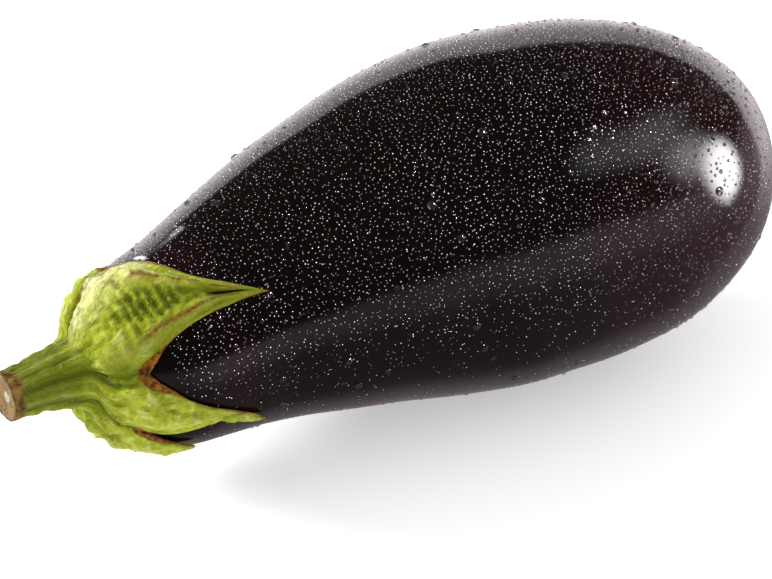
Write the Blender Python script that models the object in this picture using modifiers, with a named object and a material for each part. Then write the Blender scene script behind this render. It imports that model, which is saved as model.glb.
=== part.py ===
"""A globe aubergine lying on its side: the fruit, its green calyx and its cut stem.

Metres. +X runs from the stem to the blossom end, +Z is up, and Z = 0 is the table.
Every piece is first made straight, turned about X with its zero at the fruit's shoulder, and is then
bent along the fruit's one centre line, so the pieces keep their fit however the fruit curves.
Angles around the fruit start at the back (+Y) and pass the top (90), the front (180) and below (270).
"""
import math

import bmesh
import bpy
from mathutils import Matrix, Vector

# ---- Driving dimensions: metres and degrees ----
FRUIT_DIAMETER = 0.088          # at the belly, the widest place
NECK_DIAMETER = 0.0448          # where the neck meets the calyx
NECK_LENGTH = 0.118             # shoulder to belly
BLOSSOM_LENGTH = 0.069          # belly to blossom end
SHOULDER_LENGTH = 0.023         # over which the neck rounds off under the calyx
BLOSSOM_FULLNESS = 2.25         # 2 is an elliptical end, more is blunter

BOW_RADIUS = 0.2785             # sideways curve of the centre line
SAG_RADIUS = 1.64               # downward curve of the centre line
CURVE_CENTRE = 0.108            # distance from the shoulder at which both curves level out
NECK_DROP_ANGLE = 3.3           # how far the neck end hangs below the belly's axis
NECK_TURN_LENGTH = 0.036        # last stretch of the neck, which turns back towards the stem
NECK_TURN_SIDE = 0.0036
NECK_TURN_RISE = 0.0030
REST_SPOT_DEPTH = 0.0008        # how much the belly has flattened where it lies

FIT_GAP = 0.0003                # between touching pieces
CALYX_THICKNESS = 0.0018
# Edge of the calyx, once round: angle, reach along the skin from the shoulder's centre, and how the
# edge swings there from the point before it (1 is evenly, less is early). Notches and tips alternate.
CALYX_EDGE = [
    (60, 0.021, 0.8), (138, 0.053, 1.0),
    (155, 0.020, 2.2), (206, 0.046, 1.0),
    (209, 0.018, 1.0), (226, 0.034, 1.0),
    (256, 0.019, 1.0), (284, 0.044, 1.0),
    (308, 0.019, 1.0), (338, 0.048, 1.0),
    (362, 0.020, 1.0), (390, 0.046, 1.0),
]

STEM_LENGTH = 0.0205            # from the shoulder's plane to the cut end
STEM_RADIUS = 0.0045
STEM_FOOT_FLARE = 0.0040        # added to the radius where the stem grows out of the calyx
STEM_END_SWELL = 0.0006
STEM_RISE = 0.0030              # how far above the shoulder's centre the stem stands
STEM_RIDGES = 5
STEM_RIDGE_DEPTH = 0.05         # share of the radius

FRUIT_STEPS = 64
STEM_STEPS = 40
FLANK_COLUMNS = 8               # columns of the calyx mesh from a notch to a tip
CALYX_RINGS = 15

BELLY_RADIUS = FRUIT_DIAMETER / 2
NECK_RADIUS = NECK_DIAMETER / 2
FRUIT_LENGTH = NECK_LENGTH + BLOSSOM_LENGTH


# ---- Scene, collections and materials ----
def clear_scene():
    for old in list(bpy.data.objects):
        bpy.data.objects.remove(old, do_unlink=True)


def new_collection(name):
    collection = bpy.data.collections.new(name)
    bpy.context.scene.collection.children.link(collection)
    return collection


def new_material(name, colour, roughness):
    material = bpy.data.materials.new(name)
    material.use_nodes = True
    shader = material.node_tree.nodes["Principled BSDF"]
    shader.inputs["Base Color"].default_value = (*colour, 1.0)
    shader.inputs["Roughness"].default_value = roughness
    shader.inputs["Metallic"].default_value = 0.0
    return material


def new_object(name, mesh, collection):
    made = bpy.data.objects.new(name, mesh)
    collection.objects.link(made)
    return made


def freeze(made):
    """Replace an object's mesh with what its modifiers make of it."""
    bpy.context.view_layer.update()
    evaluated = made.evaluated_get(bpy.context.evaluated_depsgraph_get())
    frozen = bpy.data.meshes.new_from_object(evaluated)
    frozen.name = made.name
    made.modifiers.clear()
    made.data = frozen


# ---- The straight fruit: radius along its axis ----
def skin_radius(along):
    """Radius of the straight fruit at a distance from the shoulder."""
    if along >= NECK_LENGTH:
        reach = min((along - NECK_LENGTH) / BLOSSOM_LENGTH, 1.0)
        return BELLY_RADIUS * (1 - reach ** BLOSSOM_FULLNESS) ** (1 / BLOSSOM_FULLNESS)
    swell = (1 + math.cos(math.pi * (1 - along / NECK_LENGTH))) / 2
    radius = NECK_RADIUS + (BELLY_RADIUS - NECK_RADIUS) * swell
    if along < SHOULDER_LENGTH:
        radius *= math.sqrt(1 - (1 - along / SHOULDER_LENGTH) ** 2)
    return radius


def skin_profile(round_points, body_points):
    """Points (along, radius) from the shoulder to the blossom end, closest together on the round ends."""
    quarter = [math.pi / 2 * step / round_points for step in range(round_points)]
    shoulder = [SHOULDER_LENGTH * (1 - math.cos(turn)) for turn in quarter]
    neck = NECK_LENGTH - SHOULDER_LENGTH
    body = [SHOULDER_LENGTH + neck * step / body_points for step in range(body_points)]
    blossom = [NECK_LENGTH + BLOSSOM_LENGTH * math.sin(turn) for turn in quarter]
    stations = shoulder + body + blossom + [FRUIT_LENGTH]
    return [(along, skin_radius(along)) for along in stations]


def offset_profile(profile, distance):
    """The same profile moved outward along its own normals, with its ends kept on the axis."""
    moved = []
    for index, (along, radius) in enumerate(profile):
        before = profile[max(index - 1, 0)]
        after = profile[min(index + 1, len(profile) - 1)]
        run = Vector((after[0] - before[0], after[1] - before[1]))
        if index == 0 or index == len(profile) - 1:
            run.x = 0.0
        run.normalize()
        moved.append((along - run.y * distance, radius + run.x * distance))
    return moved


def turned(name, profile, steps, collection):
    """A solid turned about X from points (along, radius) that start and end on the axis."""
    mesh = bpy.data.meshes.new(name)
    points = [(radius, 0.0, -along) for along, radius in profile]
    edges = [(index, index + 1) for index in range(len(points) - 1)]
    mesh.from_pydata(points, edges, [])
    made = new_object(name, mesh, collection)
    screw = made.modifiers.new("Turn", "SCREW")
    screw.steps = steps
    screw.render_steps = steps
    screw.use_merge_vertices = True
    screw.merge_threshold = 0.000001
    freeze(made)
    made.data.transform(Matrix.Rotation(-math.pi / 2, 4, "Y"))
    return made


# ---- The centre line that every piece is bent along ----
def centre_line(along):
    """Point and direction of the centre line. It runs on straight beyond the shoulder, under the stem."""
    inside = max(along, 0.0)
    past = inside - CURVE_CENTRE
    drop = math.tan(math.radians(NECK_DROP_ANGLE))
    turn = max(1 - inside / NECK_TURN_LENGTH, 0.0)
    side = -past ** 2 / (2 * BOW_RADIUS) + NECK_TURN_SIDE * turn ** 2
    rise = drop * past - past ** 2 / (2 * SAG_RADIUS) + NECK_TURN_RISE * turn ** 2
    side_slope = -past / BOW_RADIUS - 2 * NECK_TURN_SIDE * turn / NECK_TURN_LENGTH
    rise_slope = drop - past / SAG_RADIUS - 2 * NECK_TURN_RISE * turn / NECK_TURN_LENGTH
    beyond = along - inside
    point = Vector((along, side + side_slope * beyond, rise + rise_slope * beyond))
    return point, Vector((1.0, side_slope, rise_slope)).normalized()


def bend(made):
    """Carry a straight piece onto the centre line, with each cross-section square to it."""
    for vertex in made.data.vertices:
        along, across, up = vertex.co
        point, direction = centre_line(along)
        level = Vector((0, 0, 1)).cross(direction).normalized()
        vertex.co = point + across * level + up * direction.cross(level)


# ---- Fruit ----
def make_fruit(collection):
    fruit = turned("fruit", skin_profile(14, 18), FRUIT_STEPS, collection)
    bend(fruit)
    return fruit


# ---- Calyx: one lobed shell that caps the neck ----
def calyx_columns():
    """For each column of the shell: its angle at the centre, then its angle and reach at the edge."""
    columns = []
    closed = CALYX_EDGE + [(CALYX_EDGE[0][0] + 360, *CALYX_EDGE[0][1:])]
    roots = [point[0] for point in closed]
    for tip in range(1, len(closed), 2):
        roots[tip] = (closed[tip - 1][0] + closed[tip + 1][0]) / 2
    for index in range(len(closed) - 1):
        here, there = closed[index], closed[index + 1]
        for step in range(FLANK_COLUMNS):
            share = step / FLANK_COLUMNS
            root = roots[index] + (roots[index + 1] - roots[index]) * share
            angle = here[0] + (there[0] - here[0]) * share ** there[2]
            reach = here[1] + (there[1] - here[1]) * share
            columns.append((root, angle, reach))
    root, angle, reach = columns[0]
    columns.append((root + 360, angle + 360, reach))
    return columns


def point_on_profile(profile, reach):
    """Point of a profile at a distance along it from its start."""
    for (along, radius), (next_along, next_radius) in zip(profile, profile[1:]):
        length = math.hypot(next_along - along, next_radius - radius)
        if reach <= length:
            share = reach / length
            return along + (next_along - along) * share, radius + (next_radius - radius) * share
        reach -= length
    return profile[-1]


def make_calyx(collection):
    columns = calyx_columns()
    inner = offset_profile(skin_profile(24, 40), FIT_GAP)
    sheet = bmesh.new()
    bmesh.ops.create_grid(sheet, x_segments=len(columns) - 1, y_segments=CALYX_RINGS, size=0.5)
    for vertex in sheet.verts:
        root, angle, reach = columns[round((vertex.co.x + 0.5) * (len(columns) - 1))]
        share = vertex.co.y + 0.5
        around = math.radians(root + (angle - root) * share ** 2)
        along, radius = point_on_profile(inner, reach * share)
        vertex.co = (along, radius * math.cos(around), radius * math.sin(around))
    bmesh.ops.remove_doubles(sheet, verts=sheet.verts, dist=0.00001)
    mesh = bpy.data.meshes.new("calyx")
    sheet.to_mesh(mesh)
    sheet.free()
    calyx = new_object("calyx", mesh, collection)
    shell = calyx.modifiers.new("Thickness", "SOLIDIFY")
    shell.thickness = CALYX_THICKNESS
    shell.offset = 1.0
    freeze(calyx)
    bend(calyx)
    return calyx


# ---- Stem: a ridged stalk whose foot follows the calyx ----
def stem_profile():
    """Points (along, radius) from inside the dome, outward along -X, to the cut end."""
    start = SHOULDER_LENGTH / 2
    points = 16
    outside = []
    for step in range(points + 1):
        share = step / points
        radius = STEM_RADIUS + STEM_FOOT_FLARE * (1 - share) ** 3 + STEM_END_SWELL * share ** 6
        outside.append((-STEM_LENGTH * share, radius))
    foot = outside[0][1]
    return [(start, 0.0), (start, foot), *outside, (-STEM_LENGTH, 0.0)]


def make_stem(collection, cutters):
    stem = turned("stem", list(reversed(stem_profile())), STEM_STEPS, collection)
    for vertex in stem.data.vertices:
        around = math.atan2(vertex.co.z, vertex.co.y)
        ridge = 1 + STEM_RIDGE_DEPTH * math.cos(STEM_RIDGES * around)
        vertex.co.y *= ridge
        vertex.co.z = vertex.co.z * ridge + STEM_RISE
    seat = offset_profile(skin_profile(24, 40), CALYX_THICKNESS + 2 * FIT_GAP)
    dome = turned("stem_seat", seat, FRUIT_STEPS, cutters)
    cut = stem.modifiers.new("Seat", "BOOLEAN")
    cut.operation = "DIFFERENCE"
    cut.object = dome
    freeze(stem)
    bend(stem)
    hide_cutter(dome)
    return stem


def hide_cutter(cutter):
    cutter.hide_render = True
    cutter.display_type = "WIRE"


# ---- Laying the fruit down on its flattened belly ----
def lay_down(fruit, pieces, cutters):
    """Centre the whole object over the origin, with the bottom of its flattened spot at Z = 0."""
    corners = [vertex.co for piece in pieces for vertex in piece.data.vertices]
    middle_x = (min(co.x for co in corners) + max(co.x for co in corners)) / 2
    middle_y = (min(co.y for co in corners) + max(co.y for co in corners)) / 2
    rest_height = min(vertex.co.z for vertex in fruit.data.vertices) + REST_SPOT_DEPTH
    for piece in pieces:
        piece.location = (-middle_x, -middle_y, -rest_height)
    block = bmesh.new()
    bmesh.ops.create_cube(block, size=FRUIT_LENGTH)
    mesh = bpy.data.meshes.new("table_cut")
    block.to_mesh(mesh)
    block.free()
    table = new_object("table_cut", mesh, cutters)
    table.location.z = -FRUIT_LENGTH / 2
    cut = fruit.modifiers.new("Rest spot", "BOOLEAN")
    cut.operation = "DIFFERENCE"
    cut.object = table
    hide_cutter(table)


def main():
    clear_scene()
    pieces = new_collection("Aubergine")
    cutters = new_collection("Cutters")
    fruit = make_fruit(pieces)
    calyx = make_calyx(pieces)
    stem = make_stem(pieces, cutters)
    fruit.data.materials.append(new_material("fruit_skin", (0.012, 0.006, 0.010), 0.12))
    calyx.data.materials.append(new_material("calyx_green", (0.300, 0.420, 0.070), 0.60))
    stem.data.materials.append(new_material("stem_green", (0.270, 0.370, 0.080), 0.65))
    for piece in (fruit, calyx, stem):
        piece.data.shade_smooth()
        piece.data.set_sharp_from_angle(angle=math.radians(40))
    lay_down(fruit, (fruit, calyx, stem), cutters)


main()
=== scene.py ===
import math
import random

import bpy
import numpy as np
from mathutils import Matrix, Vector, bvhtree, kdtree, noise


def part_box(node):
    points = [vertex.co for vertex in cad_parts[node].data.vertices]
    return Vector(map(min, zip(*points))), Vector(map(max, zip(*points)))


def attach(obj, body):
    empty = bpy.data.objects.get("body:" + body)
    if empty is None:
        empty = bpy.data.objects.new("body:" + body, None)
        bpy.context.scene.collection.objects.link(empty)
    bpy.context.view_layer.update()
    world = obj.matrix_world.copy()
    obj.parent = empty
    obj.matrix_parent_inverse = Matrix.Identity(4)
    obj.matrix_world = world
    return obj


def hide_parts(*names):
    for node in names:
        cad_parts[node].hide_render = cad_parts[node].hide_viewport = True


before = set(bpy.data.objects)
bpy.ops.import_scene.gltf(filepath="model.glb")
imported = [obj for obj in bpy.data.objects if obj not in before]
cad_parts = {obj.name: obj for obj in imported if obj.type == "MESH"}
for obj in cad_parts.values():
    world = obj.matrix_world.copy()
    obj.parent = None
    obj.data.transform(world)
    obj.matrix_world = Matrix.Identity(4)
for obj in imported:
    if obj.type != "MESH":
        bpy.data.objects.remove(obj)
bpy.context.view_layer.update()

# ---------------------------------------------------------------------------------------------
# The fruit: a globe aubergine with a slim neck, lying on the slightly flattened side of its belly.
# Its skin is thin, waxy and nearly black, warmer towards the blossom end, where a small corky scar
# sits in a dimple. It grew as one piece, so it is one closed skin, swept along a bent centre line.
# ---------------------------------------------------------------------------------------------
BELLY_RADIUS = 0.044
NECK_RADIUS = 0.0224
NECK_LENGTH = 0.118
BLOSSOM_LENGTH = 0.069
SHOULDER_LENGTH = 0.023
BLOSSOM_FULLNESS = 2.25
BOW_RADIUS = 0.2785
SAG_RADIUS = 1.64
CURVE_CENTRE = 0.108
NECK_DROP = math.tan(math.radians(3.3))
NECK_TURN_LENGTH = 0.036
NECK_TURN_SIDE = 0.0036
NECK_TURN_RISE = 0.0030
FRUIT_LENGTH = NECK_LENGTH + BLOSSOM_LENGTH
SCAR_RADIUS = 0.0026
DIMPLE_RADIUS = 0.0075


def smooth(low, high, value):
    """0 below low, 1 above high, with an even S between them."""
    share = np.clip((value - low) / (high - low), 0.0, 1.0)
    return share * share * (3 - 2 * share)


def hump(centre, width, value):
    """A bell that is 1 at its centre."""
    return np.exp(-((value - centre) / width) ** 2)


def skin_radius(along):
    """Radius of the straight fruit at a distance from the shoulder."""
    along = np.clip(along, 0.0, FRUIT_LENGTH)
    reach = np.clip((along - NECK_LENGTH) / BLOSSOM_LENGTH, 0.0, 1.0)
    blossom = BELLY_RADIUS * (1 - reach ** BLOSSOM_FULLNESS) ** (1 / BLOSSOM_FULLNESS)
    swell = (1 - np.cos(math.pi * np.clip(along / NECK_LENGTH, 0, 1))) / 2
    neck = NECK_RADIUS + (BELLY_RADIUS - NECK_RADIUS) * swell
    rounding = np.clip(1 - along / SHOULDER_LENGTH, 0.0, 1.0)
    neck = neck * np.sqrt(1 - rounding ** 2)
    return np.where(along >= NECK_LENGTH, blossom, neck)


def bend(along, across, up):
    """Carry points of the straight fruit onto its bent centre line."""
    inside = np.maximum(along, 0.0)
    past = inside - CURVE_CENTRE
    turn = np.maximum(1 - inside / NECK_TURN_LENGTH, 0.0)
    side = -past ** 2 / (2 * BOW_RADIUS) + NECK_TURN_SIDE * turn ** 2
    rise = NECK_DROP * past - past ** 2 / (2 * SAG_RADIUS) + NECK_TURN_RISE * turn ** 2
    side_slope = -past / BOW_RADIUS - 2 * NECK_TURN_SIDE * turn / NECK_TURN_LENGTH
    rise_slope = NECK_DROP - past / SAG_RADIUS - 2 * NECK_TURN_RISE * turn / NECK_TURN_LENGTH
    beyond = along - inside
    centre = np.stack([along, side + side_slope * beyond, rise + rise_slope * beyond], -1)
    direction = np.stack([np.ones_like(along), side_slope, rise_slope], -1)
    direction /= np.linalg.norm(direction, axis=-1, keepdims=True)
    level = np.cross(np.array([0.0, 0.0, 1.0]), direction)
    level /= np.linalg.norm(level, axis=-1, keepdims=True)
    return centre + across[..., None] * level + up[..., None] * np.cross(direction, level)


def unevenness(along, around):
    """How far the grown skin stands above or below the even shape."""
    body = smooth(0.02, 0.05, along) * (1 - smooth(0.165, 0.182, along))
    long_waves = 0.00018 * np.sin(along / 0.0082 + 1.3 + 1.1 * np.cos(around + 0.4))
    lobes = 0.00016 * np.cos(3 * around + 0.9 + along / 0.03) + 0.0001 * np.cos(5 * around - along / 0.021)
    small = 0.00007 * np.sin(along / 0.0039 + 2 * np.cos(2 * around + 1.0))
    return (long_waves + lobes + small) * body


def blossom_dimple(along):
    """Depth of the dimple and the lift of the corky scar inside it, around the blossom end."""
    radius = skin_radius(along)
    near = smooth(NECK_LENGTH + 0.6 * BLOSSOM_LENGTH, FRUIT_LENGTH, along)
    dimple = -0.0011 * hump(0.0, DIMPLE_RADIUS * 0.6, radius) * near
    scar = 0.00035 * (1 - smooth(SCAR_RADIUS * 0.8, SCAR_RADIUS * 1.1, radius)) * near
    return dimple + scar


def skin_point(along, around):
    """Point of the skin at a distance from the shoulder and an angle from the back, over the top."""
    radius = skin_radius(along) + unevenness(along, around)
    return bend(along + blossom_dimple(along), radius * np.cos(around), radius * np.sin(around))


def skin_normal(along, around):
    """Outward direction of the skin."""
    step = 0.00005
    forward = skin_point(along + step, around) - skin_point(along - step, around)
    sideways = skin_point(along, around + 0.002) - skin_point(along, around - 0.002)
    normal = np.cross(sideways, forward)
    return normal / np.linalg.norm(normal, axis=-1, keepdims=True)


def lofted(name, rows, first_pole=None, last_pole=None):
    """A piece from closed rows of points, each as long as the next, with its ends drawn to a point."""
    count, columns = rows.shape[:2]
    points = [tuple(point) for point in rows.reshape(-1, 3)]
    faces = []
    for row in range(count - 1):
        for column in range(columns):
            beside = (column + 1) % columns
            here, there = row * columns, (row + 1) * columns
            faces.append((here + column, here + beside, there + beside, there + column))
    for pole, row, flip in ((first_pole, 0, False), (last_pole, count - 1, True)):
        if pole is None:
            continue
        points.append(tuple(pole))
        for column in range(columns):
            beside = (column + 1) % columns
            ends = (row * columns + column, row * columns + beside)
            faces.append((len(points) - 1, *(ends if flip else reversed(ends))))
    mesh = bpy.data.meshes.new(name)
    mesh.from_pydata(points, [], faces)
    mesh.shade_smooth()
    made = bpy.data.objects.new(name, mesh)
    bpy.context.scene.collection.objects.link(made)
    return made


def note_on_points(made, name, values):
    """Keep one number for each point of a piece, for its finish to read."""
    layer = made.data.attributes.new(name, "FLOAT", "POINT")
    layer.data.foreach_set("value", np.asarray(values, np.float32).ravel())


class Wire:
    """One socket of a finish's nodes; sums on it add Math nodes."""

    def __init__(self, finish, socket):
        self.finish, self.socket = finish, socket

    def joined(self, operation, first, second=0.0):
        settings = {"operation": operation}
        return self.finish.node("ShaderNodeMath", settings, {0: first, 1: second}, "Value")

    def __add__(self, other):
        return self.joined("ADD", self, other)

    def __sub__(self, other):
        return self.joined("SUBTRACT", self, other)

    def __rsub__(self, other):
        return self.joined("SUBTRACT", other, self)

    def __mul__(self, other):
        return self.joined("MULTIPLY", self, other)

    def __truediv__(self, other):
        return self.joined("DIVIDE", self, other)

    def __pow__(self, other):
        return self.joined("POWER", self, other)

    __radd__ = __add__
    __rmul__ = __mul__


class Finish:
    """A material and the nodes that make it."""

    def __init__(self, name, **constants):
        self.material = bpy.data.materials.new(name)
        self.material.use_nodes = True
        self.tree = self.material.node_tree
        self.shader = self.tree.nodes["Principled BSDF"]
        for socket, value in constants.items():
            self.shader.inputs[socket.replace("_", " ")].default_value = value

    def node(self, kind, settings, sockets, output):
        """Add a node: its settings first, then the values or wires of its sockets."""
        made = self.tree.nodes.new(kind)
        for name, value in settings.items():
            if name == "stops":
                ramp = made.color_ramp
                while len(ramp.elements) < len(value):
                    ramp.elements.new(0.5)
                for element, (place, shade) in zip(ramp.elements, value):
                    element.position = place
                    element.color = (*shade, 1.0) if isinstance(shade, tuple) else (shade,) * 3 + (1.0,)
            else:
                setattr(made, name, value)
        for name, value in sockets.items():
            self.fill(self.find(made.inputs, name), value)
        return Wire(self, self.find(made.outputs, output))

    @staticmethod
    def find(sockets, name):
        if isinstance(name, int):
            return sockets[name]
        for socket in sockets:
            if socket.identifier == name:
                return socket
        return sockets[name]

    def fill(self, socket, value):
        if isinstance(value, Wire):
            self.tree.links.new(value.socket, socket)
        elif isinstance(value, tuple) and len(value) == 3 and socket.type == "RGBA":
            socket.default_value = (*value, 1.0)
        else:
            socket.default_value = value

    def note(self, name):
        """A number kept on the piece's points."""
        return self.node("ShaderNodeAttribute", {"attribute_name": name}, {}, "Fac")

    def place(self, stretch=(1.0, 1.0, 1.0)):
        """Where the surface is, in metres, stretched."""
        spot = self.node("ShaderNodeTexCoord", {}, {}, "Object")
        if stretch == (1.0, 1.0, 1.0):
            return spot
        return self.node("ShaderNodeVectorMath", {"operation": "MULTIPLY"}, {0: spot, 1: stretch}, "Vector")

    def grain(self, scale, detail=3.0, where=None, roughness=0.5):
        """Soft noise from 0 to 1."""
        sockets = {"Vector": where or self.place(), "Scale": scale, "Detail": detail, "Roughness": roughness}
        return self.node("ShaderNodeTexNoise", {}, sockets, "Fac")

    def cells(self, scale, where=None, randomness=1.0, output="Distance"):
        """Distance to, or colour of, the nearest of many scattered points."""
        sockets = {"Vector": where or self.place(), "Scale": scale, "Randomness": randomness}
        return self.node("ShaderNodeTexVoronoi", {}, sockets, output)

    def between(self, value, low, high):
        """0 at low and below, 1 at high and above."""
        settings = {"interpolation_type": "SMOOTHSTEP"}
        sockets = {"Value": value, "From Min": low, "From Max": high}
        return self.node("ShaderNodeMapRange", settings, sockets, "Result")

    def blended(self, share, first, second):
        """One colour laid over another."""
        sockets = {"Factor_Float": share, "A_Color": first, "B_Color": second}
        return self.node("ShaderNodeMix", {"data_type": "RGBA"}, sockets, "Result_Color")

    def raised(self, height, depth, under=None):
        """A bump of a real depth in metres, on top of another."""
        sockets = {"Strength": 1.0, "Distance": depth, "Height": height}
        if under:
            sockets["Normal"] = under
        return self.node("ShaderNodeBump", {}, sockets, "Normal")

    def finished(self, made, colour, roughness, normal):
        self.fill(self.shader.inputs["Base Color"], colour)
        self.fill(self.shader.inputs["Roughness"], roughness)
        self.fill(self.shader.inputs["Normal"], normal)
        made.data.materials.append(self.material)


def fruit_stations():
    """Distances from the shoulder at which the skin's rows lie, closest at the round ends."""
    turn = np.linspace(0.0, math.pi / 2, 41)[1:-1]
    shoulder = SHOULDER_LENGTH * (1 - np.cos(turn))
    body = np.linspace(SHOULDER_LENGTH, NECK_LENGTH, 116)
    turn = np.linspace(0.0, math.pi / 2, 131)[1:-1]
    blossom = NECK_LENGTH + BLOSSOM_LENGTH * np.sin(turn) ** (2 / BLOSSOM_FULLNESS)
    return np.concatenate([shoulder, body, blossom])


FRUIT_COLUMNS = 256
stations = fruit_stations()
angles = np.arange(FRUIT_COLUMNS) * 2 * math.pi / FRUIT_COLUMNS
along, around = np.meshgrid(stations, angles, indexing="ij")
even = bend(along, skin_radius(along) * np.cos(around), skin_radius(along) * np.sin(around))
box_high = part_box("fruit")[1]
SHIFT = np.array(box_high) - even.reshape(-1, 3).max(axis=0)


def laid_down(points):
    """Points of the bent fruit where it lies, kept above the table."""
    placed = points + SHIFT
    placed[..., 2] = np.maximum(placed[..., 2], 0.0)
    return placed


ends = skin_point(np.array([0.0, FRUIT_LENGTH]), np.array([0.0, 0.0]))
fruit = lofted("fruit_skin", laid_down(skin_point(along, around)), *laid_down(ends))
stations_all = np.append(along.ravel(), [0.0, FRUIT_LENGTH])
note_on_points(fruit, "along", stations_all / FRUIT_LENGTH)
note_on_points(fruit, "scar", np.where(stations_all > 0.15, skin_radius(stations_all), 1.0) / SCAR_RADIUS)


skin = Finish("fruit_skin_black", IOR=1.5)
along_note = skin.note("along")
speckle = skin.grain(260.0, 2.0)
cloud = skin.grain(38.0, 3.0)
streaks = skin.grain(1.0, 3.0, skin.place((22.0, 210.0, 210.0)))
colour = skin.blended(
    skin.between(along_note + cloud * 0.3, 0.75, 1.15), (0.0020, 0.0008, 0.0006), (0.0150, 0.0020, 0.0038))
colour = skin.blended(skin.between(streaks, 0.58, 0.8) * 0.35, colour, (0.010, 0.0025, 0.0035))
collar = 1 - skin.between(along_note, 0.14, 0.19)
colour = skin.blended(collar * skin.between(cloud, 0.35, 0.7) * 0.5, colour, (0.016, 0.0030, 0.0050))
scar_note = skin.note("scar")
cork = 1 - skin.between(scar_note + speckle * 0.4, 1.0, 1.35)
cork_grain = skin.grain(1400.0, 4.0)
cork_colour = skin.blended(cork_grain, (0.055, 0.028, 0.012), (0.22, 0.13, 0.065))
colour = skin.blended(cork, colour, cork_colour)
gloss = 0.055 + 0.035 * cloud + 0.02 * speckle + cork * 0.5
relief = skin.raised(skin.grain(520.0, 2.0), 0.000008)
relief = skin.raised(cork * cork_grain, 0.0002, relief)
skin.finished(fruit, colour, gloss, relief)
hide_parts("fruit")
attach(fruit, "root")

# ---------------------------------------------------------------------------------------------
# The calyx and the stem: the green flower cup that caps the neck in pointed sepals, and the ridged
# stalk it hangs from. Both are fibrous, finely felted, and one growth, with no joint between them.
# Corky rust-brown margins lift off the skin, and the stalk ends in a dried brown cut with pale pith.
# ---------------------------------------------------------------------------------------------
FIT_GAP = 0.0003
STEM_LENGTH = 0.0205
STEM_RADIUS = 0.0051
STEM_RISE = 0.0030
# Edge of the flower cup, once round, sepal by sepal: angle in degrees and reach over the skin in
# millimetres. Each sepal's points run from its first notch to its tip and on to its next notch.
SEPALS = (
    {"rise": [(57, 28.5), (66, 29.5), (78, 32), (93, 35.5), (111, 39.8), (125, 46.3), (138, 53.4)],
     "fall": [(138, 53.4), (135.8, 48.5), (134.6, 43), (134.2, 37), (136, 31.2), (140.5, 26.2),
              (147, 23.2), (154, 20.6)]},
    {"rise": [(154, 20.6), (162, 22.4), (169, 25.0), (177, 28), (184, 32), (190, 36.3),
              (199, 42), (208, 46.3)],
     "fall": [(208, 46.3), (199, 42.5), (195, 38.8), (196, 34.5), (200, 29.9), (206, 23), (208, 17.5)]},
    {"rise": [(208, 17.5), (212, 21), (217, 26), (222, 31.5)],
     "fall": [(222, 31.5), (231, 27.5), (244, 22.5), (256, 19)]},
    {"rise": [(256, 19), (264, 24), (273, 32), (284, 44)],
     "fall": [(284, 44), (291, 34), (300, 25), (308, 19)]},
    {"rise": [(308, 19), (317, 25), (328, 36), (338, 48)],
     "fall": [(338, 48), (344, 37), (352, 26), (362, 20)]},
    {"rise": [(362, 20), (366, 25), (371, 34), (377, 44)],
     "fall": [(377, 44), (388, 36), (403, 30.5), (417, 28.5)]},
)
FLANK = 27
COLUMNS = FLANK * 2 * len(SEPALS)


def spread(points, count):
    """Points at even shares of a smooth run through the given ones."""
    points = np.array(points, float)
    gaps = np.linalg.norm(np.diff(points, axis=0) * np.array([0.45, 1.0]), axis=1)
    travelled = np.concatenate([[0.0], np.cumsum(gaps)])
    wanted = np.linspace(0.0, travelled[-1], count, endpoint=False)
    slopes = np.gradient(points, travelled, axis=0)
    index = np.clip(np.searchsorted(travelled, wanted, side="right") - 1, 0, len(points) - 2)
    width = travelled[index + 1] - travelled[index]
    share = ((wanted - travelled[index]) / width)[:, None]
    width = width[:, None]
    first, second = points[index], points[index + 1]
    ease = share * share * (3 - 2 * share)
    return (first * (1 - ease) + second * ease
            + width * slopes[index] * share * (1 - share) ** 2
            - width * slopes[index + 1] * share * share * (1 - share))


edge_angle, edge_reach, root_angle, lobe_number, across_lobe = [], [], [], [], []
for number, sepal in enumerate(SEPALS):
    first, last = sepal["rise"][0][0], sepal["fall"][-1][0]
    middle = (first + last) / 2
    for part, start, stop in (("rise", first, middle), ("fall", middle, last)):
        for step, (angle, reach) in enumerate(spread(sepal[part], FLANK)):
            share = step / FLANK
            edge_angle.append(math.radians(angle))
            edge_reach.append(reach * 0.001)
            root_angle.append(math.radians(start + (stop - start) * share))
            lobe_number.append(number)
            across_lobe.append(share - 1 if part == "rise" else share)
edge_angle, edge_reach, root_angle = map(np.array, (edge_angle, edge_reach, root_angle))
lobe_number, across_lobe = np.array(lobe_number), np.array(across_lobe)

# Distance over the skin from the shoulder's centre, as a table for looking up.
profile_along = np.concatenate([
    SHOULDER_LENGTH * (1 - np.cos(np.linspace(0, math.pi / 2, 400))),
    np.linspace(SHOULDER_LENGTH, 0.09, 400)[1:]])
profile_radius = skin_radius(profile_along)
profile_reach = np.concatenate([[0.0], np.cumsum(np.hypot(np.diff(profile_along), np.diff(profile_radius)))])


def over_skin(reach, height, around):
    """Point at a reach over the straight fruit's skin, a height above it and an angle round it."""
    at = np.interp(reach, profile_reach, profile_along)
    radius = np.interp(reach, profile_reach, profile_radius)
    turn = np.clip(1 - at / SHOULDER_LENGTH, 0.0, 1.0)
    slope = np.arcsin(turn)
    out_along = -np.sin(slope)
    out_radius = np.cos(slope)
    flatter = smooth(0.0, 0.012, reach)
    out_radius = out_radius * flatter
    size = np.hypot(out_along, out_radius)
    size = np.where(size < 0.001, 1.0, size)
    radius = radius + height * out_radius / size
    at = at + height * out_along / size
    return np.stack([at, radius * np.cos(around), radius * np.sin(around)], -1)


def rough(points, scale, seed):
    """Soft noise about zero at each point."""
    flat = points.reshape(-1, 3) * scale + seed
    return np.array([noise.noise(Vector(point)) for point in flat]).reshape(points.shape[:-1])


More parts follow.
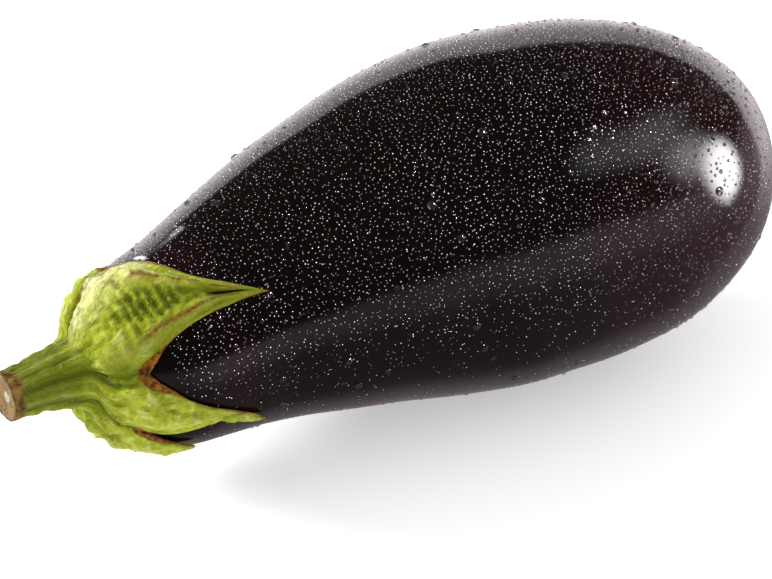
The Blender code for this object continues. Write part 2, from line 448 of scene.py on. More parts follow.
LEAVE_REACH = 0.0135           # where the cup's surface has left the stem's foot
CUP_ROWS = 84
share = np.linspace(0.0, 1.0, CUP_ROWS)[:, None]
edge_share = share ** 0.92
start_reach = np.minimum(LEAVE_REACH, edge_reach * 0.75)[None, :]
reach = start_reach + (edge_reach[None, :] - start_reach) * edge_share
turned_share = reach / edge_reach[None, :]
around = root_angle + (edge_angle - root_angle) * turned_share ** 2
base = over_skin(reach, np.zeros_like(reach) + FIT_GAP, around)

# True distance of every point from the cup's edge, measured over the fruit.
rim = over_skin(edge_reach, np.full(COLUMNS, FIT_GAP), edge_angle)
rim_next = np.roll(rim, -1, axis=0)
rim_fine = np.concatenate([rim + (rim_next - rim) * step / 6 for step in range(6)])
rim_tree = kdtree.KDTree(len(rim_fine))
for index, point in enumerate(rim_fine):
    rim_tree.insert(point, index)
rim_tree.balance()
inset = np.array([rim_tree.find(point)[2] for point in base.reshape(-1, 3)]).reshape(reach.shape)

# Where each point lies across its sepal: 0 on the midrib, 1 on the edge.
lobe = np.broadcast_to(lobe_number, reach.shape)
cross = np.zeros_like(reach)
for number in range(len(SEPALS)):
    for part in (-1, 1):
        chosen = (lobe_number == number) & ((across_lobe < 0) if part < 0 else (across_lobe >= 0))
        places = np.where(chosen)[0]
        reaches = edge_reach[places] if part < 0 else edge_reach[places][::-1]
        widths = np.abs(across_lobe[places]) if part < 0 else np.abs(across_lobe[places])[::-1]
        limit = np.interp(reach[:, places], np.maximum.accumulate(reaches), widths)
        cross[:, places] = np.abs(across_lobe[places]) / np.maximum(limit, 0.04) * part
cross = np.clip(cross, -1, 1)
side = np.abs(cross)

tip_reach = np.array([max(point[1] for point in sepal["rise"]) for sepal in SEPALS])[lobe] * 0.001
to_tip = tip_reach - reach
long_pos = reach / tip_reach

# Folds: a midrib on each sepal, valleys between sepals, and on the top sepal a gutter between ridges.
midrib = 0.0009 * hump(0.0, 0.17, cross) * (1 - smooth(0.78, 1.0, long_pos)) * smooth(0.012, 0.020, reach)
valley = -0.0010 * hump(1.0, 0.16, side) * (1 - smooth(0.016, 0.024, reach)) * smooth(0.004, 0.010, reach)
shoulders = 0.0006 * hump(0.55, 0.25, side) * hump(0.02, 0.012, reach)
is_top = lobe == 0
wander = rough(base, 120.0, 3.0)
gutter_place = 0.52 - 0.28 * smooth(0.55, 0.95, long_pos) + 0.10 * wander
ridges = 0.0013 * hump(gutter_place, 0.17, side) * smooth(0.010, 0.022, reach) * smooth(0.0, 0.012, to_tip)
gutter = -0.0009 * hump(0.0, 0.34, cross) * smooth(0.012, 0.024, reach) * smooth(0.002, 0.010, to_tip)
crimps = 0.00062 * np.sin(reach / 0.00036 + 3.2 * rough(base, 160.0, 5.0)) * hump(0.0, 0.42, cross)
crimps = crimps * (0.5 + 1.5 * np.abs(rough(base, 260.0, 9.0)))
crimps = crimps * smooth(0.016, 0.022, reach) * (1 - smooth(0.030, 0.040, reach))
slit = hump(0.06 * wander, 0.13, cross) * smooth(0.72, 0.80, long_pos) * (1 - smooth(0.89, 0.95, long_pos))
slit = slit * is_top
seam = ((lobe == 0) & (cross < 0)) | ((lobe == len(SEPALS) - 1) & (cross > 0))
seam = seam * hump(0.96 + 0.05 * wander, 0.05, side) * smooth(0.012, 0.018, reach)
folds = np.where(is_top, ridges + gutter + crimps - 0.0009 * slit, midrib) + valley + shoulders
folds = folds - 0.0005 * seam
low_lobe = lobe == 1
folds = folds + np.where(low_lobe, 0.0008 * hump(0.28, 0.14, cross) * smooth(0.010, 0.02, reach), 0.0)

# Puffed shoulder of the cup, highest on the upper side, and wrinkles that run with the sepals.
puff = 0.0021 * np.exp(-((np.angle(np.exp(1j * (around - math.radians(112)))) / 0.95) ** 2))
puff = puff * smooth(0.006, 0.012, reach) * (1 - smooth(0.018, 0.034, reach)) * smooth(0.001, 0.006, inset)
grooves_at = np.stack([around * 9.0, reach * 110.0, lobe * 3.7], -1)
wrinkles = 0.00055 * rough(grooves_at, 1.0, 11.0) + 0.00028 * rough(grooves_at * 2.3, 1.0, 23.0)
wrinkles = wrinkles * smooth(0.0003, 0.004, inset)
dents = 0.00045 * rough(base, 230.0, 31.0) * smooth(0.001, 0.005, inset)
pits = 0.00080 * (0.25 - np.abs(rough(base, 380.0, 37.0))) * smooth(0.0006, 0.003, inset)
pits = pits + 0.00060 * rough(base, 640.0, 39.0) * smooth(0.0004, 0.002, inset)
veins_at = np.stack([around * 7.0, reach * 60.0 + around * 1.5, lobe * 2.9], -1)
veins = 0.00080 * (0.28 - np.abs(rough(veins_at, 1.0, 41.0))) * smooth(0.0006, 0.004, inset)

# Thickness and lift: about two millimetres of flesh, thinning to a rounded corky margin that lifts.
edge_wave = rough(rim, 170.0, 47.0)[None, :]
tip_lift = 0.00035 * (1 - smooth(0.0, 0.010, to_tip))
margin_lift = (0.00008 + 0.00055 * np.maximum(edge_wave, 0.0)) * (1 - smooth(0.0, 0.0045, inset))
lift = np.maximum(margin_lift, 0.00005) + tip_lift
margin_bead = 0.00022 * hump(0.0007, 0.0005, inset)
flesh = 0.00095 + 0.0011 * smooth(0.0005, 0.0060, inset) + margin_bead
rounding = np.sqrt(np.clip(1 - (1 - np.clip(inset / 0.00055, 0, 1)) ** 2, 0, 1))
detail = folds + wrinkles + dents + pits + veins
top_height = lift + 0.00045 + (flesh - 0.00045) * rounding + puff
top_height = np.maximum(top_height + detail * smooth(0.0, 0.0015, inset), lift + 0.0004)
cup_top = over_skin(reach, top_height + FIT_GAP, around)

# The stem, from the middle of its cut end back to the foot.
cut_shares = np.array([0.12, 0.3, 0.5, 0.62, 0.72, 0.82, 0.9, 0.96, 0.995])
stem_shares = np.linspace(1.0, 0.14, 44)
ridge_note = np.cos(across_lobe * math.pi)
stem_wave = 0.5 * np.cos(root_angle * 11 + 0.6) + 0.5 * np.cos(root_angle * 17 + 2.1)


def stem_ring(share, inset_share=1.0):
    """Ring of the stem at a share of its length from the foot, or a part of its cut end."""
    twist = 0.10 * share
    radius = STEM_RADIUS + 0.0034 * (1 - share) ** 2 + 0.0004 * smooth(0.8, 0.97, share)
    depth = 0.12 * smooth(1.02, 0.80, share) + 0.02
    creases = ridge_note * 0.55 + stem_wave * 0.35 - 0.25 * hump(-0.1, 0.35, stem_wave + ridge_note)
    ridged = radius * (1 + depth * creases)
    oval = 1 + 0.07 * np.cos(2 * (root_angle - 0.8))
    ring_radius = ridged * oval * inset_share
    angle = root_angle + twist
    bow = 0.0007 * math.sin(math.pi * share)
    spots = np.stack([np.full(COLUMNS, -STEM_LENGTH * share), ring_radius * np.cos(angle),
                      ring_radius * np.sin(angle) + STEM_RISE + bow], -1)
    scale = rough(spots, 420.0, 61.0) * 0.00042 + rough(spots * np.array([0.3, 1, 1]), 900.0, 71.0) * 0.00036
    spots[:, 1] += scale * np.cos(angle) * inset_share
    spots[:, 2] += scale * np.sin(angle) * inset_share
    return spots


cut_rings = []
for inset_share in cut_shares:
    ring = stem_ring(1.0, inset_share)
    hollow = 0.0007 * (1 - smooth(0.45, 0.8, inset_share)) + 0.0004 * smooth(0.9, 1.0, inset_share)
    ring[:, 0] += hollow + 0.00022 * rough(ring, 900.0, 83.0)
    cut_rings.append(ring)
stem_rings = [stem_ring(stem_share) for stem_share in stem_shares]
foot, above_foot = stem_rings[-1], stem_rings[-2]
leave, past_leave = cup_top[0], cup_top[1]


def toward(first, second):
    run = second - first
    return run / np.linalg.norm(run, axis=-1, keepdims=True)


BLEND_ROWS = 22
gap = np.linalg.norm(leave - foot, axis=-1, keepdims=True)
pull_foot = foot + toward(above_foot, foot) * gap * 0.42
pull_leave = leave - toward(leave, past_leave) * gap * 0.42
blend_rings = []
for step in range(1, BLEND_ROWS):
    part = step / BLEND_ROWS
    curve = (foot * (1 - part) ** 3 + pull_foot * 3 * part * (1 - part) ** 2
             + pull_leave * 3 * part ** 2 * (1 - part) + leave * part ** 3)
    fold = 0.0007 * ridge_note * math.sin(math.pi * part) + 0.0004 * stem_wave * (1 - part)
    wrinkled_at = np.stack([root_angle * 9, np.full(COLUMNS, part * 2.2), root_angle * 0], -1)
    wrinkle = 0.0008 * rough(wrinkled_at, 1.0, 91.0)
    curve[:, 0] -= (fold + wrinkle * math.sin(math.pi * part)) * (0.4 + 0.6 * part)
    blend_rings.append(curve)

# The inner side: from the edge back under the cup.
under_shares = np.array([0.985, 0.95, 0.9, 0.8, 0.65, 0.45, 0.25, 0.08])
under_rings = []
for under_share in under_shares:
    under_reach = edge_reach * under_share
    under_around = root_angle + (edge_angle - root_angle) * under_share ** 2
    row = np.interp(under_share, turned_share[:, 0], np.arange(CUP_ROWS))
    lift_there = lift[int(row)] if under_share > turned_share[:, 0].min() else lift[0]
    height = FIT_GAP + lift_there * smooth(0.6, 0.95, under_share)
    under_rings.append(over_skin(under_reach, height, under_around))

rings = np.concatenate([np.stack(cut_rings), np.stack(stem_rings), np.stack(blend_rings), cup_top,
                        np.stack(under_rings)])
counts = [len(cut_rings), len(stem_rings), len(blend_rings), CUP_ROWS, len(under_rings)]
cut_middle = cut_rings[0].mean(axis=0)
under_middle = under_rings[-1].mean(axis=0)
flat_rings = rings.reshape(-1, 3)
bent = laid_down(bend(flat_rings[:, 0], flat_rings[:, 1], flat_rings[:, 2])).reshape(rings.shape)
poles = np.stack([cut_middle, under_middle])
bent_poles = laid_down(bend(poles[:, 0], poles[:, 1], poles[:, 2]))
cup = lofted("calyx_and_stem", bent, bent_poles[0], bent_poles[1])


def by_ring(cut, stem, blend, top, under, pole_values):
    """Numbers for every point of the cup, given for each run of rings."""
    parts = []
    for value, count in zip((cut, stem, blend, top, under), counts):
        value = np.asarray(value, float)
        if value.ndim == 1 and len(value) == count:
            value = value[:, None]
        parts.append(np.broadcast_to(value, (count, COLUMNS)).ravel())
    return np.concatenate(parts + [np.array(pole_values, float)])


far = 0.03
blend_part = np.arange(1, BLEND_ROWS) / BLEND_ROWS
note_on_points(cup, "edge_mm", by_ring(far, far, far, inset, 0.0, (far, 0.0)) * 1000)
note_on_points(cup, "stem_share", by_ring(1.0, stem_shares, 0.14 * (1 - blend_part), 0.0, 0.0, (1.0, 0.0)))
note_on_points(cup, "cut", by_ring(cut_shares, 2.0, 2.0, 2.0, 2.0, (0.0, 2.0)))
stem_height = ridge_note * 0.7 + stem_wave * 0.6
blend_height = stem_height * (1 - blend_part[:, None]) + detail[0] / 0.001 * blend_part[:, None]
note_on_points(cup, "height", by_ring(0.0, stem_height, blend_height, detail / 0.001, -1.0, (0.0, -1.0)))
fold = np.where(is_top, hump(gutter_place, 0.075, side), 0.0) * smooth(0.020, 0.026, reach) + 0.8 * seam
note_on_points(cup, "fold", by_ring(0.0, 0.0, 0.0, fold, 0.0, (0.0, 0.0)))
note_on_points(cup, "lengthwise",
               by_ring(root_angle, root_angle, root_angle, around, around[-1], (0.0, 0.0)))
note_on_points(cup, "reach_mm", by_ring(0.0, 0.0, blend_part * 13.5, reach * 1000, 40.0, (0.0, 0.0)))
notch_points = rim[[index for index in range(COLUMNS) if across_lobe[index] == -1]]
to_notch = np.min(np.linalg.norm(base[:, :, None, :] - notch_points, axis=-1), axis=-1)
corner = 0.0036 * hump(0.0, 0.0050, to_notch) * (0.35 + 0.65 * hump(math.radians(154), 0.6, around))
note_on_points(cup, "cork_mm", by_ring(0.0, 0.0, 0.0, corner, 0.0, (0.0, 0.0)) * 1000)
note_on_points(cup, "slit", by_ring(0.0, 0.0, 0.0, slit, 0.0, (0.0, 0.0)))
# Painted light and shade by place on the cup: above zero around 62 degrees from the back, the side that
# faces the window light, where a painted highlight goes; below zero around 133 degrees, on the upper front,
# where painted shade goes.
bloom = hump(math.radians(62), math.radians(30), around) * (1 - smooth(0.030, 0.044, reach))
bloom = bloom - 0.9 * hump(math.radians(133), math.radians(20), around) * smooth(0.008, 0.014, reach)
note_on_points(cup, "bloom", by_ring(0.0, 0.0, bloom[0] * blend_part[:, None], bloom, 0.0, (0.0, 0.0)))

green = Finish("calyx_and_stem_green", IOR=1.42, Sheen_Weight=0.10, Sheen_Roughness=0.35,
               Sheen_Tint=(0.96, 0.96, 0.80, 1.0), Specular_IOR_Level=0.15)
edge_mm = green.note("edge_mm")
height_note = green.note("height")
stem_note = green.note("stem_share")
cut_note = green.note("cut")
fibre_at = green.node("ShaderNodeCombineXYZ", {}, {
    "X": green.note("lengthwise") * 26.0,
    "Y": green.note("reach_mm") * 0.16 + stem_note * 5.0,
    "Z": 0.0}, "Vector")
fibres = green.grain(1.0, 4.0, fibre_at, 0.62)
patches = green.grain(150.0, 4.0)
fine = green.grain(900.0, 3.0)
veining = green.grain(1.0, 5.0, fibre_at, 0.7)
mottle = green.grain(420.0, 4.0, None, 0.6)
# Through the height note the green is lighter on raised relief and darker in its hollows: partly painted
# highlight on the ridges and painted shade in the creases, partly random tone from veining, patches and
# mottle.
tone = green.between(height_note * 0.22 + veining * 0.6 + patches * 0.8 + mottle * 0.6, 0.60, 1.50)
colour = green.blended(tone, (0.190, 0.235, 0.003), (0.52, 0.585, 0.045))
# Painted highlight: cream on raised relief, together with mottled pale flecks of the felt.
colour = green.blended(green.between(height_note * 0.2 + mottle * 1.6, 0.85, 1.45) * 0.62, colour,
                       (0.78, 0.79, 0.34))
# Painted shade: dark green where the relief is low, in the creases.
colour = green.blended(green.between(height_note * -1.0 + mottle * 0.6, 0.30, 1.2) * 0.8, colour,
                       (0.110, 0.150, 0.002))
colour = green.blended(green.between(patches, 0.56, 0.78) * 0.3, colour, (0.52, 0.50, 0.05))
felt = green.between(green.cells(2600.0, None, 1.0, "Color"), 0.82, 0.98)
colour = green.blended(felt * 0.35, colour, (0.86, 0.88, 0.50))
painted_light_and_shade_note = green.note("bloom")
# Painted shade: darker green where the painted light and shade note is below zero, on the upper front of the
# cup.
colour = green.blended(green.between(painted_light_and_shade_note * -1.0 - mottle * 0.3, 0.0, 0.9) * 0.85, colour,
                       (0.180, 0.220, 0.003))
# Painted highlight: cream on the side that faces the window light, broken up by the mottle.
bloom = green.between(painted_light_and_shade_note, 0.0, 1.0) * green.between(mottle + fine, 0.55, 1.25)
colour = green.blended(bloom * 0.75, colour, (0.86, 0.86, 0.52))
colour = green.blended(green.between(stem_note, 0.05, 0.35) * 0.55, colour, (0.110, 0.140, 0.001))
rust = green.blended(green.between(fine, 0.35, 0.65), (0.075, 0.024, 0.002), (0.30, 0.125, 0.012))
ragged = edge_mm + patches * 1.5 - fine * 0.9 - green.note("cork_mm")
margin = 1 - green.between(ragged, 0.10, 0.62)
fold_line = green.note("fold") * green.between(patches, 0.36, 0.48) * 0.9
colour = green.blended(margin, colour, rust)
colour = green.blended(fold_line, colour, rust)
colour = green.blended(green.between(green.note("slit"), 0.3, 0.8), colour, (0.006, 0.003, 0.001))
bark = green.between(stem_note + patches * 0.32 + mottle * 0.10, 1.03, 1.14)
bark_colour = green.blended(green.between(mottle, 0.35, 0.65), (0.085, 0.034, 0.004), (0.36, 0.21, 0.055))
colour = green.blended(bark, colour, bark_colour)
pith = 1 - green.between(cut_note + fine * 0.15, 0.24, 0.38)
is_cut = 1 - green.between(cut_note, 1.0, 1.3)
wood = green.blended(green.cells(1500.0), (0.20, 0.105, 0.030), (0.48, 0.34, 0.16))
colour = green.blended(is_cut, colour, wood)
colour = green.blended(pith, colour, (0.70, 0.68, 0.52))
gloss = 0.34 + 0.2 * patches + 0.15 * fine + margin * 0.2
relief = green.raised(fibres, 0.00070)
relief = green.raised(mottle, 0.00120, relief)
relief = green.raised(fine, 0.00050, relief)
green.finished(cup, colour, gloss, relief)
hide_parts("calyx", "stem")
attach(cup, "root")

# ---------------------------------------------------------------------------------------------
# The water: the fruit has been misted, so fine dew lies over its upper side, beads of a millimetre
# have gathered among it, and some large drops have run together. The drops cling by themselves; each
# is a closed bead set a little into the skin.
# ---------------------------------------------------------------------------------------------
draw = random.Random(20)
wet = np.random.default_rng(7)


def beads(name, along, around, radius, height, sides, rings, sag=0.0):
    """Many closed drops in one piece, each a dome on the skin."""
    count = len(along)
    spot = skin_point(along, around)
    normal = skin_normal(along, around)
    down = np.array([0.0, 0.0, -1.0]) - normal * normal[:, 2:3] * -1.0
    size = np.linalg.norm(down, axis=-1, keepdims=True)
    down = np.where(size > 0.05, down / np.maximum(size, 0.05), np.array([1.0, 0.0, 0.0]))
    beside = np.cross(normal, down)
    points = [spot + normal * (height * 1.0)[:, None] + down * (radius * sag)[:, None]]
    for ring in range(1, rings + 1):
        tilt = math.pi / 2 * ring / rings
        wide = math.sin(tilt) ** 0.9
        tall = math.cos(tilt)
        for side_step in range(sides):
            turn = 2 * math.pi * side_step / sides
            stretch = 1 + 0.18 * sag / 0.2 * math.cos(turn)
            out = (down * math.cos(turn) * stretch + beside * math.sin(turn)) * (radius * wide)[:, None]
            lean = down * (radius * sag * tall)[:, None]
            risen = height * tall - height * 0.06 * (ring == rings)
            points.append(spot + out + lean + normal * risen[:, None])
    points.append(spot - normal * (height * 0.25)[:, None])
    per_drop = len(points)
    corners = laid_down(np.stack(points, axis=1))
    faces = []
    for side_step in range(sides):
        beside_step = (side_step + 1) % sides
        faces.append((0, 1 + side_step, 1 + beside_step))
        for ring in range(rings - 1):
            here, there = 1 + ring * sides, 1 + (ring + 1) * sides
            faces.append((here + side_step, there + side_step, there + beside_step))
            faces.append((here + side_step, there + beside_step, here + beside_step))
        last = 1 + (rings - 1) * sides
        faces.append((last + side_step, per_drop - 1, last + beside_step))
    faces = np.array(faces)
    all_faces = (faces[None] + (np.arange(count) * per_drop)[:, None, None]).reshape(-1, 3)
    mesh = bpy.data.meshes.new(name)
    mesh.vertices.add(count * per_drop)
    mesh.vertices.foreach_set("co", corners.astype(np.float32).ravel())
    mesh.loops.add(len(all_faces) * 3)
    mesh.loops.foreach_set("vertex_index", all_faces.astype(np.int32).ravel())
    mesh.polygons.add(len(all_faces))
    mesh.polygons.foreach_set("loop_start", np.arange(len(all_faces), dtype=np.int32) * 3)
    mesh.update(calc_edges=True)
    mesh.shade_smooth()
    made = bpy.data.objects.new(name, mesh)
    bpy.context.scene.collection.objects.link(made)
    return made


cup_tree = bvhtree.BVHTree.FromPolygons([vertex.co for vertex in cup.data.vertices],
                                        [tuple(face.vertices) for face in cup.data.polygons])


def under_cup(points, normals, spare):
    """Whether a spot on the skin is beneath the calyx or within a small distance of it."""
    hidden = []
    for point, normal in zip(points, normals):
        near = cup_tree.find_nearest(Vector(point), spare)[0] is not None
        above = cup_tree.ray_cast(Vector(point - normal * 0.002), Vector(normal), 0.012)[0] is not None
        hidden.append(near or above)
    return np.array(hidden)


def clear_of(drops, sizes, points, spare):
    """Which points stand clear of the drops already there."""
    clear = []
    for point in points:
        index, distance = drops.find(point)[1:]
        clear.append(distance > sizes[index] + spare)
    return np.array(clear)


def tree_of(points):
    """A table of points for finding the nearest one."""
    made = kdtree.KDTree(len(points))
    for index, point in enumerate(points):
        made.insert(point, index)
    made.balance()
    return made


def scattered(step, unevenly, low, high):
    """Spots on the skin in rows about a step apart, each nudged off its place."""
    spots_along, spots_around = [], []
    for row_along in np.arange(low, high, step):
        girth = 2 * math.pi * float(skin_radius(row_along))
        count = max(int(girth / step), 3)
        turn = (np.arange(count) + wet.uniform(-unevenly, unevenly, count) + wet.uniform()) / count
        spots_around.append(turn * 2 * math.pi)
        spots_along.append(row_along + wet.uniform(-unevenly, unevenly, count) * step)
    return np.concatenate(spots_along), np.concatenate(spots_around)


def kept(keep, *columns):
    return [column[keep] for column in columns]


# The largest drops, scattered over the upper skin by chance.
LARGE_DROPS = 72
large_along = np.array([draw.uniform(0.018, 0.180) for drop in range(LARGE_DROPS)])
large_around = np.radians([draw.uniform(-40, 225) for drop in range(LARGE_DROPS)])
large_radius = np.array([draw.uniform(0.55, 1.25) for drop in range(LARGE_DROPS)]) * 0.001
large_points = skin_point(large_along, large_around)
keep = ~under_cup(laid_down(large_points), skin_normal(large_along, large_around), 0.001)
large_along, large_around, large_radius, large_points = kept(
    keep, large_along, large_around, large_radius, large_points)
BEAD_HEIGHT = 0.62
drops_large = beads("drops_large", large_along, large_around, large_radius,
                    large_radius * BEAD_HEIGHT, 24, 7, 0.16)

# Beads of about a millimetre, thickest towards the blossom end and on the flanks.
MEDIUM_STEP = 0.0019
UNEVENLY = 0.42
medium_along, medium_around = scattered(MEDIUM_STEP, UNEVENLY, 0.016, 0.1835)
fewer_on_top = 1 - smooth(0.2, 0.95, np.sin(medium_around)) * 0.5
weight = 0.14 + 0.75 * smooth(0.11, 0.165, medium_along) * fewer_on_top
weight = weight + 0.35 * hump(0.028, 0.012, medium_along) * (np.cos(medium_around) < -0.3)
weight = weight * (0.3 + 0.7 * smooth(-0.75, 0.1, np.sin(medium_around)))
weight = weight + 0.30 * hump(0.165, 0.012, medium_along) * (np.cos(medium_around) < 0.0)
keep = wet.uniform(0, 1, len(weight)) < weight
medium_along, medium_around = kept(keep, medium_along, medium_around)
medium_radius = 0.00022 + 0.00036 * wet.uniform(0, 1, len(medium_along)) ** 2.0
medium_points = skin_point(medium_along, medium_around)
keep = clear_of(tree_of(large_points), large_radius, medium_points, 0.0005)
keep &= ~under_cup(laid_down(medium_points.copy()), skin_normal(medium_along, medium_around), 0.0006)
medium_along, medium_around, medium_radius, medium_points = kept(
    keep, medium_along, medium_around, medium_radius, medium_points)
drops_medium = beads("drops_medium", medium_along, medium_around, medium_radius,
                     medium_radius * BEAD_HEIGHT, 12, 3, 0.08)

# Fine dew, 0.14 to 0.30 of a millimetre across, opaque white: a painted glint that stands for the bright
# points of clear water.
DEW_STEP = 0.00118
dew_along, dew_around = scattered(DEW_STEP, UNEVENLY, 0.014, 0.1845)
weight = 0.10 + 0.90 * smooth(-0.45, 0.55, np.sin(dew_around))
keep = wet.uniform(0, 1, len(weight)) < weight * 0.86
dew_along, dew_around = kept(keep, dew_along, dew_around)
dew_radius = 0.000072 + 0.000080 * wet.uniform(0, 1, len(dew_along)) ** 2.2
dew_points = skin_point(dew_along, dew_around)
bigger_points = np.concatenate([large_points, medium_points])
bigger_radius = np.concatenate([large_radius, medium_radius])
keep = clear_of(tree_of(bigger_points), bigger_radius, dew_points, 0.00022)
keep &= ~under_cup(laid_down(dew_points.copy()), skin_normal(dew_along, dew_around), 0.0003)
dew_along, dew_around, dew_radius = kept(keep, dew_along, dew_around, dew_radius)
DEW_PARTS = 4
DEW_HEIGHT = 0.8
dew = [beads(f"dew_{part + 1}", dew_along[part::DEW_PARTS], dew_around[part::DEW_PARTS],
             dew_radius[part::DEW_PARTS], dew_radius[part::DEW_PARTS] * DEW_HEIGHT, 6, 1)
       for part in range(DEW_PARTS)]

# Painted shade: the water is tinted grey, so the beads read darker than clear water would.
water_painted_dark = bpy.data.materials.new("water_painted_dark")
water_painted_dark.use_nodes = True
shader = water_painted_dark.node_tree.nodes["Principled BSDF"]
for socket, value in (("Base Color", (0.45, 0.43, 0.44, 1)), ("Roughness", 0.05), ("IOR", 1.33),
                      ("Transmission Weight", 1.0), ("Specular IOR Level", 1.0)):
    shader.inputs[socket].default_value = value
# Painted glint: the dew is an opaque near-white, not clear water, so each drop shows as a bright dot.
dew_painted_glint = bpy.data.materials.new("dew_painted_glint")
dew_painted_glint.use_nodes = True
shader = dew_painted_glint.node_tree.nodes["Principled BSDF"]
for socket, value in (("Base Color", (0.92, 0.93, 0.95, 1)), ("Roughness", 0.1), ("IOR", 1.33)):
    shader.inputs[socket].default_value = value
for made in (drops_large, drops_medium):
    made.data.materials.append(water_painted_dark)
    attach(made, "root")
for made in dew:
    made.data.materials.append(dew_painted_glint)
    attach(made, "root")

# ---------------------------------------------------------------------------------------------
# The table, the lamps and the camera: a wide pale table, soft panels on the right that the blossom end
# mirrors, a tiny one by the neck, and a long lens looking down on the fruit from the front.
# ---------------------------------------------------------------------------------------------
mesh = bpy.data.meshes.new("table_top")
half = 4.0
corners = [(-half, -half, 0), (half, -half, 0), (half, half, 0), (-half, half, 0)]
mesh.from_pydata(corners, [], [(0, 1, 2, 3)])
table_top = bpy.data.objects.new("table_top", mesh)
bpy.context.scene.collection.objects.link(table_top)
pale = Finish("pale_table", Emission_Color=(1.0, 1.0, 1.0, 1.0), Emission_Strength=0.42)
pale.finished(table_top, (0.93, 0.93, 0.93), 0.6, pale.raised(pale.grain(30.0), 0.00001))
table_top.visible_glossy = False

VIEW_TURN = math.radians(25.37)
VIEW_DROP = math.radians(32.0)
VIEW_DISTANCE = 0.9
LENS_MM = 169.67
AIM_LEFT = 0.02213
AIM_DOWN = 0.01987
right = np.array([math.cos(VIEW_TURN), -math.sin(VIEW_TURN), 0.0])
forward = np.array([math.sin(VIEW_TURN) * math.cos(VIEW_DROP),
                    math.cos(VIEW_TURN) * math.cos(VIEW_DROP), -math.sin(VIEW_DROP)])
upward = np.cross(right, forward)
aim_point = np.array([0.108, 0.0, 0.0]) + SHIFT
stand = aim_point - forward * VIEW_DISTANCE
aimed = forward - right * AIM_LEFT - upward * AIM_DOWN
aimed /= np.linalg.norm(aimed)
side_axis = np.cross(aimed, upward)
side_axis /= np.linalg.norm(side_axis)
lens = bpy.data.cameras.new("camera")
lens.sensor_width = 36.0
lens.lens = LENS_MM
lens.clip_start, lens.clip_end = 0.05, 30.0
camera = bpy.data.objects.new("camera", lens)
bpy.context.scene.collection.objects.link(camera)
turned = Matrix((side_axis, np.cross(side_axis, aimed), -aimed)).transposed()
camera.matrix_world = Matrix.Translation(Vector(stand)) @ turned.to_4x4()
bpy.context.scene.camera = camera


def soft_panel(name, spot, way, distance, wide, tall, strength, edge):
    """A glowing panel that faces a spot from a direction; its glow thins out towards its edges."""
    way = Vector(way).normalized()
    half_wide = wide / 2
    half_tall = tall / 2
    mesh = bpy.data.meshes.new(name)
    corners = [(-half_wide, -half_tall, 0), (half_wide, -half_tall, 0), (half_wide, half_tall, 0),
               (-half_wide, half_tall, 0)]
    mesh.from_pydata(corners, [], [(0, 1, 2, 3)])
    panel = bpy.data.objects.new(name, mesh)
    bpy.context.scene.collection.objects.link(panel)
    panel.location = Vector(spot) + way * distance
    panel.rotation_mode = "QUATERNION"
    panel.rotation_quaternion = way.to_track_quat("Z", "Y")
    panel.visible_camera = False
    panel.visible_diffuse = False
    panel.visible_shadow = False
    glow = Finish(name, Roughness=1.0, Specular_IOR_Level=0.0, Base_Color=(0.0, 0.0, 0.0, 1.0),
                  Emission_Color=(0.99, 0.97, 1.0, 1.0), Emission_Strength=strength)
    from_middle = {0: glow.place((1 / half_wide, 1 / half_tall, 0.0))}
    fade = glow.node("ShaderNodeVectorMath", {"operation": "LENGTH"}, from_middle, "Value")
    glow.fill(glow.shader.inputs["Alpha"], 1 - glow.between(fade, 1 - edge, 1.0))
    panel.data.materials.append(glow.material)


# The lamps are mirrored on the round blossom end, and the small one on the back of the neck.
soft_panel("square_lamp", (0.0763, -0.0346, 0.0621), (0.922, -0.380, 0.070), 0.80, 0.50, 0.64, 20.0, 0.60)
soft_panel("side_lamp", (0.0704, -0.0340, 0.0667), (0.812, -0.483, 0.328), 0.85, 0.58, 0.60, 4.2, 0.95)
soft_panel("wide_lamp", (0.0570, -0.0305, 0.0735), (0.610, -0.430, 0.665), 0.95, 0.95, 0.60, 1.25, 0.9)
soft_panel("small_lamp", (-0.0640, -0.0070, 0.0590), (-0.010, 0.940, 0.340), 0.10, 0.010, 0.040, 14.0, 0.7)


def even_light(name, direction, width, strength):
    """Light from a wide part of the room, which the glossy skin doesn't mirror."""
    light = bpy.data.lights.new(name, "SUN")
    light.energy, light.angle = strength, math.radians(width)
    lamp = bpy.data.objects.new(name, light)
    bpy.context.scene.collection.objects.link(lamp)
    lamp.rotation_mode = "QUATERNION"
    lamp.rotation_quaternion = Vector(direction).to_track_quat("Z", "Y")
    lamp.visible_glossy = False
    return lamp


even_light("window_light", (-0.85, 0.62, 0.50), 20, 3.6)
even_light("room_light", (0.0, -0.25, 1.0), 170, 2.5)
# Two more fall on the water alone: they whiten the dew and give each bead its bright point.
for name, strength, pieces in (("dew_light", 5.0, dew), ("bead_light", 40.0, (drops_large, drops_medium))):
    lit_pieces = bpy.data.collections.new(name)
    for made in pieces:
        lit_pieces.objects.link(made)
    lamp = even_light(name, (0.50, -0.42, 0.76), 30, strength)
    lamp.visible_glossy = True
    lamp.light_linking.receiver_collection = lit_pieces

world = bpy.data.worlds.new("studio")
bpy.context.scene.world = world
world.use_nodes = True
tree = world.node_tree
tree.nodes.clear()


def world_node(kind, settings, sockets):
    made = tree.nodes.new(kind)
    for name, value in settings.items():
        setattr(made, name, value)
    for name, value in sockets.items():
        if hasattr(value, "links"):
            tree.links.new(value, made.inputs[name])
        else:
            made.inputs[name].default_value = value
    return made


way = world_node("ShaderNodeTexCoord", {}, {}).outputs["Generated"]
parted = world_node("ShaderNodeSeparateXYZ", {}, {"Vector": way}).outputs
height = parted["Z"]
smooth_range = {"interpolation_type": "SMOOTHSTEP"}


def ramped(value, low, high, at_low, at_high):
    sockets = {"Value": value, "From Min": low, "From Max": high, "To Min": at_low, "To Max": at_high}
    return world_node("ShaderNodeMapRange", smooth_range, sockets).outputs["Result"]


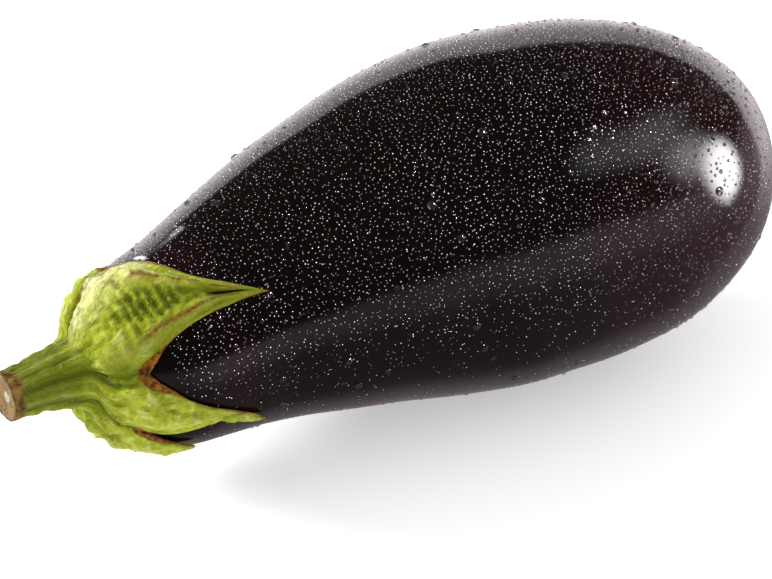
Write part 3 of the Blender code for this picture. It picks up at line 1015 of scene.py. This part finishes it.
def joined(operation, first, second, third=0.0):
    return world_node("ShaderNodeMath", {"operation": operation}, {0: first, 1: second, 2: third}).outputs[0]


def toward_way(direction):
    sockets = {0: way, 1: tuple(float(part) for part in direction)}
    return world_node("ShaderNodeVectorMath", {"operation": "DOT_PRODUCT"}, sockets).outputs["Value"]


# Behind the fruit a sheet of white paper bends up from the table to a curved top edge.
level_forward = forward * np.array([1.0, 1.0, 0.0])
level_forward /= np.linalg.norm(level_forward)
sideways = toward_way(right * math.cos(0.09) - level_forward * math.sin(0.09))
backward = toward_way(level_forward)
paper_top = joined("MULTIPLY_ADD", joined("MULTIPLY", sideways, sideways), -0.85, 0.47)
over_top = joined("SUBTRACT", height, paper_top)
paper = joined("MULTIPLY", ramped(over_top, -0.045, 0.045, 1.0, 0.0), ramped(backward, 0.0, 0.35, 0.0, 1.0))
paper = joined("MULTIPLY", paper, ramped(height, -0.60, -0.20, 0.12, 1.0))
paper = joined("MULTIPLY", paper, ramped(sideways, 0.70, 0.80, 1.0, 0.08))
paper = joined("MULTIPLY", paper, ramped(sideways, 0.10, 0.62, 1.0, 1.75))
# In front the table and a dim room show: a pale band at the table's far edge, then little light.
band = joined("MULTIPLY", ramped(height, -0.50, -0.14, 0.32, 1.0), ramped(height, -0.02, 0.15, 1.0, 0.0))
band = joined("MULTIPLY", band, ramped(sideways, 0.30, 0.85, 0.45, 1.0))
room = joined("MULTIPLY_ADD", band, 0.60, 0.060)
room_lit = world_node("ShaderNodeBackground", {}, {"Color": (1.0, 0.80, 0.84, 1.0), "Strength": room})
PAPER_GLOW = 1.05
paper_strength = joined("MULTIPLY", paper, PAPER_GLOW)
paper_lit = world_node("ShaderNodeBackground", {},
                       {"Color": (1.0, 0.955, 0.985, 1.0), "Strength": paper_strength})
both = world_node("ShaderNodeAddShader", {}, {0: room_lit.outputs[0], 1: paper_lit.outputs[0]})
world_node("ShaderNodeOutputWorld", {}, {"Surface": both.outputs[0]})

bpy.context.scene.view_settings.view_transform = "Standard"
